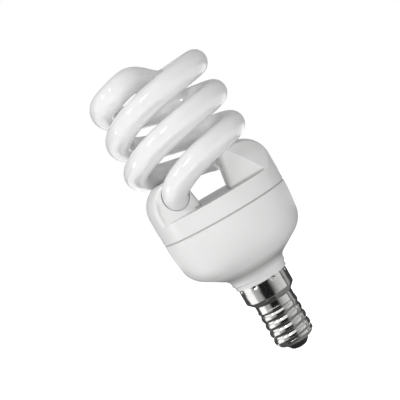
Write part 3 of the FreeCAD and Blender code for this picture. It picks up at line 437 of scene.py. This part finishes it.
def make_screw_shell():
    """A closed sheet: up the outside and back down the inside, which has half as many rows."""
    low, high = (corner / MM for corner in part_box("screw_shell"))
    outside = shell_outline(low.z, high.x, high.z)
    inside = [outside[row] for row in range(len(outside) - 1, 0, -2)] + [outside[0]]
    rows = [(radius, height, 0.0) for radius, height in outside]
    rows += [(radius, height, SHEET) for radius, height in inside]
    corners = []
    for radius, height, inset in rows:
        for step in range(TURN_STEPS):
            corners.append(shell_point(360.0 * step / TURN_STEPS, radius, height, inset, high.z))
    faces = []
    for row in range(len(rows)):
        below, above = row * TURN_STEPS, (row + 1) % len(rows) * TURN_STEPS
        for step in range(TURN_STEPS):
            beside = (step + 1) % TURN_STEPS
            faces.append((below + step, below + beside, above + beside, above + step))
    shell = add_mesh("threaded_shell", corners, faces)
    shade(shell.data, SHELL_SHARP_DEG)
    paint(shell, nickel())
    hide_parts("screw_shell")
    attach(shell, "root")


# Trim of the two faces that the tube enters; sizes in millimetres, for the face in front

TRIM_SHARP_DEG = 40.0
SUNK = 0.2
COVE_STEPS = 6

# The cover there: depth of the face, radius of the wall, foot and radius of the dome, height of the ledge
FACE_Y = 11.0
WALL_RADIUS = 22.08
DOME_Z = 60.0
DOME_RADIUS = 9.0
LEDGE_Z = 56.6

# Raised rim along the block's outer edge: it fades between two angles of the dome
RIM_RISE = 0.8
RIM_WIDTH = 0.4
RIM_ROOT = 1.4
RIM_ROOT_INSET = 0.06
RIM_EDGE_DROP = 0.3
RIM_EDGE_WIDTH = 0.25
RIM_SLOPE_WIDTH = 0.3
RIM_SLOPE_DROP = 0.1
RIM_COVE = 0.8
LEAST_COVE = 0.05
RIM_ENDS = (24.0, 38.0)
RIM_WALL_STEPS = 8
RIM_DOME_STEPS = 24

# Cove between the face and the ledge: it spans two distances from the middle and starts small at the nearer
FOOT_COVE = 1.2
FOOT_SPAN = (6.8, 18.4)
FOOT_LEAD = 0.1
FOOT_RUN_OUT = 1.6
FOOT_STEP = 0.4


def hollow_arc(rounding):
    """Points of a quarter hollow from the top of a wall to the floor before it: distance out and up."""
    turns = [math.pi / 2 * step / COVE_STEPS for step in range(COVE_STEPS + 1)]
    return [(rounding * (1 - math.cos(turn)), rounding * (1 - math.sin(turn))) for turn in turns]


def rim_section(radius, height, turn):
    """Corners of the rim's section where the block's outer wall has this radius, height and lean."""
    inward = Vector((math.cos(turn), 0.0, -math.sin(turn)))
    rise = RIM_RISE * (1 - smooth_step(*RIM_ENDS, math.degrees(turn)))
    top = FACE_Y + rise
    cove = max(LEAST_COVE, min(RIM_COVE, rise))

    def spot(depth, inset):
        across = -math.sqrt(radius ** 2 - depth ** 2)
        return Vector((across, -depth, height)) + inward * inset

    section = [spot(FACE_Y - RIM_ROOT, RIM_ROOT_INSET), spot(top - RIM_EDGE_DROP, 0.0),
               spot(top, RIM_EDGE_WIDTH), spot(top, RIM_WIDTH)]
    crest = section[-1]
    for out, up in hollow_arc(cove):
        corner = crest + inward * (RIM_SLOPE_WIDTH + out)
        corner.y = -(FACE_Y + up * (rise - RIM_SLOPE_DROP) / cove)
        section.append(corner)
    sunk = section[-1].copy()
    sunk.y = -(FACE_Y - SUNK)
    return section + [sunk]


def rim_sections():
    """Sections of the rim up the straight wall and along the dome."""
    heights = [LEDGE_Z + (DOME_Z - LEDGE_Z) * step / RIM_WALL_STEPS for step in range(RIM_WALL_STEPS)]
    sections = [rim_section(WALL_RADIUS, height, 0.0) for height in heights]
    for step in range(RIM_DOME_STEPS + 1):
        turn = math.radians(RIM_ENDS[1] * step / RIM_DOME_STEPS)
        sections.append(rim_section(WALL_RADIUS - DOME_RADIUS * (1 - math.cos(turn)),
                                    DOME_Z + DOME_RADIUS * math.sin(turn), turn))
    return sections


def foot_sections():
    """Sections of the cove at the foot, which runs out towards the channel."""
    near, far = FOOT_SPAN
    sections = []
    for across in steps_between(near, far, FOOT_STEP):
        cove = FOOT_COVE * smooth_step(near - FOOT_LEAD, near + FOOT_RUN_OUT, across)
        section = [Vector((-across, -(FACE_Y - SUNK), LEDGE_Z - SUNK)),
                   Vector((-across, -(FACE_Y - SUNK), LEDGE_Z + cove))]
        section += [Vector((-across, -(FACE_Y + out), LEDGE_Z + up)) for out, up in hollow_arc(cove)]
        section.append(Vector((-across, -(FACE_Y + cove), LEDGE_Z - SUNK)))
        sections.append(section)
    return sections


def make_strip(name, sections, half_turn, material):
    """A closed strip through the given sections; half a turn puts it on the block behind."""
    sign = -1.0 if half_turn else 1.0
    corners = [(sign * corner.x * MM, sign * corner.y * MM, corner.z * MM)
               for section in sections for corner in section]
    count = len(sections[0])
    last = len(sections) - 1
    faces = [tuple(range(count)), tuple(last * count + index for index in reversed(range(count)))]
    for row in range(last):
        this, following = row * count, (row + 1) * count
        for index in range(count):
            beside = (index + 1) % count
            faces.append((this + index, following + index, following + beside, this + beside))
    strip = add_mesh(name, corners, faces)
    turn_outward(strip.data)
    shade(strip.data, TRIM_SHARP_DEG)
    paint(strip, material)
    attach(strip, "root")


def make_entry_trim():
    material = white_plastic("trim_plastic", COVER_ROUGHNESS, ())
    for side, half_turn in (("front", False), ("back", True)):
        make_strip(f"entry_rim_{side}", rim_sections(), half_turn, material)
        make_strip(f"entry_foot_{side}", foot_sections(), half_turn, material)


# Floor and surround: white to the camera and in reflections; sizes in metres

FLOOR_Z = -0.15
FLOOR_HALF = 3.0
FLOOR_COLOUR = (0.85, 0.85, 0.85, 1.0)
FLOOR_ROUGHNESS = 0.9
FLOOR_GLOW = 0.95
AMBIENT = 0.26


def seen_rays(tree):
    """1 for rays from the camera and for those that a mirror or a pane sends on, 0 for the rest."""
    path = add_node(tree, "LightPath", {})
    total = path.outputs["Is Camera Ray"]
    for name in ("Is Glossy Ray", "Is Transmission Ray"):
        total = add_node(tree, "Math", {0: total, 1: path.outputs[name]}, operation="MAXIMUM").outputs[0]
    return total


def make_floor():
    corners = [(-FLOOR_HALF, -FLOOR_HALF), (FLOOR_HALF, -FLOOR_HALF), (FLOOR_HALF, FLOOR_HALF),
               (-FLOOR_HALF, FLOOR_HALF)]
    floor = add_mesh("floor", [(x, y, FLOOR_Z) for x, y in corners], [(0, 1, 2, 3)])
    material, shader = new_material("floor_paper")
    tree = material.node_tree
    shader.inputs["Base Color"].default_value = FLOOR_COLOUR
    shader.inputs["Roughness"].default_value = FLOOR_ROUGHNESS
    shader.inputs["Emission Color"].default_value = WHITE
    glow = add_node(tree, "Math", {0: seen_rays(tree), 1: FLOOR_GLOW}, operation="MULTIPLY")
    tree.links.new(glow.outputs[0], shader.inputs["Emission Strength"])
    paint(floor, material)


def make_world():
    world = bpy.data.worlds.new("studio")
    world.use_nodes = True
    scene.world = world
    tree = world.node_tree
    background = tree.nodes["Background"]
    background.inputs["Color"].default_value = WHITE
    strength = add_node(tree, "MapRange", {"Value": seen_rays(tree), "To Min": AMBIENT, "To Max": 1.0})
    tree.links.new(strength.outputs["Result"], background.inputs["Strength"])


# Lamps: azimuth and elevation in degrees, distance, width and height in metres, watts, and whether gloss
# shows the lamp as a highlight

LIT_POINT = Vector((0.0, 0.0, 0.06))
LAMPS = (
    ("window_left", -95, 2, 1.0, 0.12, 0.16, 0.6, True),
    ("window_middle", -64, 38, 1.0, 0.12, 0.22, 1.3, True),
    ("window_right", -28, 44, 1.0, 0.15, 0.22, 1.8, True),
    ("key_softbox", -80, 25, 0.9, 0.5, 0.7, 0.7, False),
    ("front_panel", 2, -1, 1.2, 0.7, 0.1, 4.1, False),
    ("right_panel", 62, 6, 1.1, 0.6, 0.4, 0.75, False),
    ("top_fill", 10, 75, 1.0, 0.9, 0.9, 0.6, False),
    ("back_fill", 160, 10, 1.2, 0.9, 0.4, 3.2, False),
)


def make_lamp(name, azimuth_deg, elevation_deg, distance, width, height, watts, mirrored):
    """A soft lamp aimed at the object."""
    data = bpy.data.lights.new(name, "AREA")
    data.shape = "RECTANGLE"
    data.size = width
    data.size_y = height
    data.energy = watts
    lamp = bpy.data.objects.new(name, data)
    scene.collection.objects.link(lamp)
    way = direction(azimuth_deg, elevation_deg)
    lamp.location = LIT_POINT + way * distance
    lamp.rotation_mode = "QUATERNION"
    lamp.rotation_quaternion = way.to_track_quat("Z", "Y")
    lamp.visible_glossy = mirrored


def make_lamps():
    for lamp in LAMPS:
        make_lamp(*lamp)


# Cards that only reflections show, painted reflections greyer and darker than the white surround: from and
# to azimuth and from and to elevation in degrees, as seen from the cap, distance in metres, and brightness

CARD_MIDDLE = Vector((0.0, 0.0, 0.013))
CARD_STEP_DEG = 3
CARDS = (
    ("below_deep", -180, 180, -90, -70, 0.15, 0.2),
    ("below_left", -180, -69, -70, -28, 0.15, 0.1),
    ("below_front", -69, 21, -70, -28, 0.15, 0.05),
    ("below_right", 21, 180, -70, -28, 0.15, 0.22),
    ("reflection_upper_right", 15, 100, 12, 75, 1.7, 0.5),
    ("reflection_behind_left", -180, -110, -25, 80, 1.7, 0.42),
    ("reflection_behind_right", 105, 180, -25, 80, 1.7, 0.42),
)
HIDDEN_FROM = ("camera", "diffuse", "transmission", "volume_scatter", "shadow")

# A ring of card round the cap that paints the reflections in the metal cap, a painted reflection of the
# left softbox and
# nearly black in front: its reach as above, and its brightness at some azimuths, which changes evenly in
# between

RING_REACH = (-180, 180, -28, 12, 0.08)
RING_TONES = (
    (-180, 0.08), (-112, 0.08), (-105, 1.25), (-72, 1.25), (-62, 0.55), (-40, 0.4), (-27, 0.014),
    (11, 0.014), (24, 0.34), (45, 0.62), (78, 0.8), (82, 0.06), (86, 0.06), (90, 0.4), (105, 0.4),
    (112, 0.06), (180, 0.06),
)


def make_screen(name, left_deg, right_deg, low_deg, high_deg, distance):
    """A piece of a sphere round the cap that glows only in reflections, as a painted reflection; returns
    its mesh and shader.
    """
    across = steps_between(left_deg, right_deg, CARD_STEP_DEG)
    up = steps_between(low_deg, high_deg, CARD_STEP_DEG)
    corners = [CARD_MIDDLE + direction(azimuth, elevation) * distance
               for elevation in up for azimuth in across]
    wide = len(across)
    faces = []
    for row in range(len(up) - 1):
        for column in range(wide - 1):
            first = row * wide + column
            faces.append((first, first + 1, first + wide + 1, first + wide))
    screen = add_mesh(name, corners, faces)
    material, shader = new_material(name)
    shader.inputs["Base Color"].default_value = BLACK
    shader.inputs["Specular IOR Level"].default_value = 0.0
    shader.inputs["Emission Color"].default_value = WHITE
    paint(screen, material)
    for ray in HIDDEN_FROM:
        setattr(screen, f"visible_{ray}", False)
    return screen.data, shader


def make_cards():
    for *reach, brightness in CARDS:
        shader = make_screen(*reach)[1]
        shader.inputs["Emission Strength"].default_value = brightness


def ring_tone(azimuth):
    """Brightness of the ring at an azimuth."""
    for (left, left_tone), (right, right_tone) in zip(RING_TONES, RING_TONES[1:]):
        if left <= azimuth <= right:
            return left_tone + (right_tone - left_tone) * (azimuth - left) / (right - left)


def make_ring():
    mesh, shader = make_screen("ring", *RING_REACH)
    glow = mesh.attributes.new("glow", "FLOAT", "POINT")
    azimuths = steps_between(*RING_REACH[:2], CARD_STEP_DEG)
    for index, spot in enumerate(glow.data):
        spot.value = ring_tone(azimuths[index % len(azimuths)])
    tree = shader.id_data
    tone = add_node(tree, "Attribute", {}, attribute_name="glow")
    tree.links.new(tone.outputs["Fac"], shader.inputs["Emission Strength"])


make_camera()
make_floor()
make_world()
make_lamps()
make_cards()
make_ring()
paint_nodes()
make_screw_shell()
make_entry_trim()
